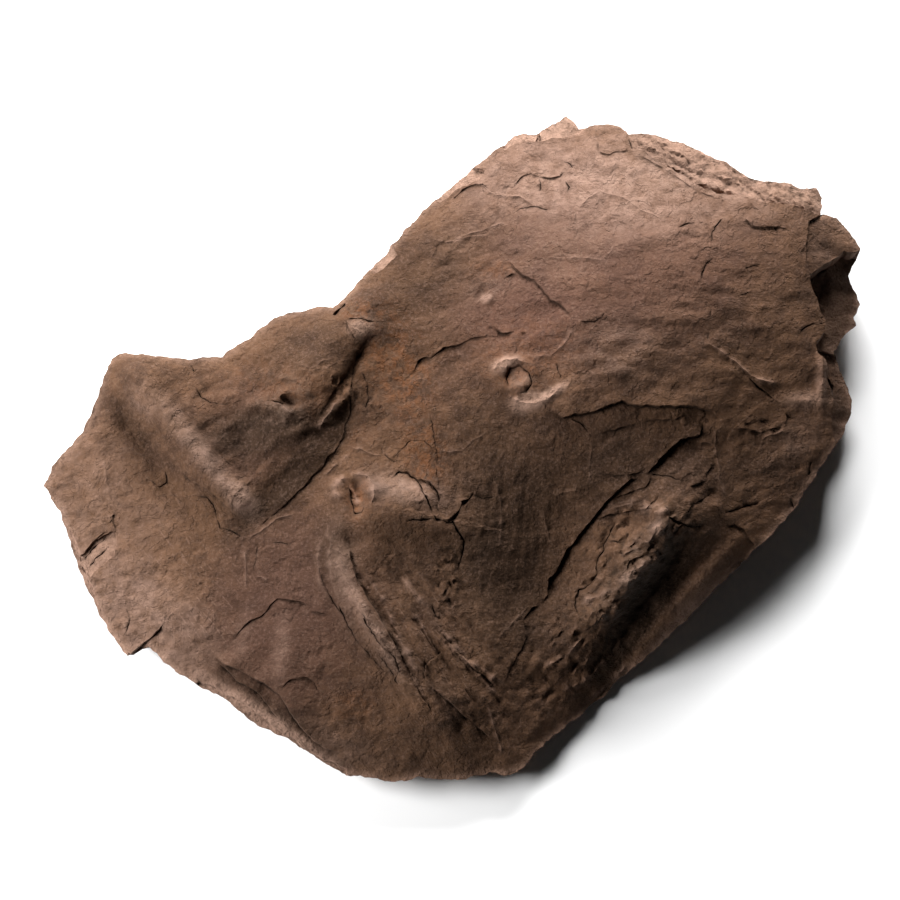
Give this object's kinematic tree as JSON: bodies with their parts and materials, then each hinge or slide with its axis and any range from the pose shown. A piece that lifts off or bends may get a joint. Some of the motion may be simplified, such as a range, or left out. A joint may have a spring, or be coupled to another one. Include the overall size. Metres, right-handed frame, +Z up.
{
  "type": "fossil dinosaur footprint",
  "caption": "Broken slab of brown siltstone with the raised natural cast of a three-toed dinosaur foot, heel dome and toes, lying on its flat underside.",
  "frame": {"origin": "on the ground under the middle of the slab's plan", "axes": "+X along the slab's longest reach, to the right of someone who stands at the toes, +Y up the slab towards the heel, +Z up out of the cast side"},
  "size_m": [0.608, 0.498, 0.0871],
  "materials": {
    "siltstone": "old bedding skin of dark red-brown siltstone, satin on the worn crests, dull and paler on the fresh breaks of the rim"
  },
  "bodies": {
    "root": {"footprint_slab": "siltstone"}
  },
  "joints": []
}
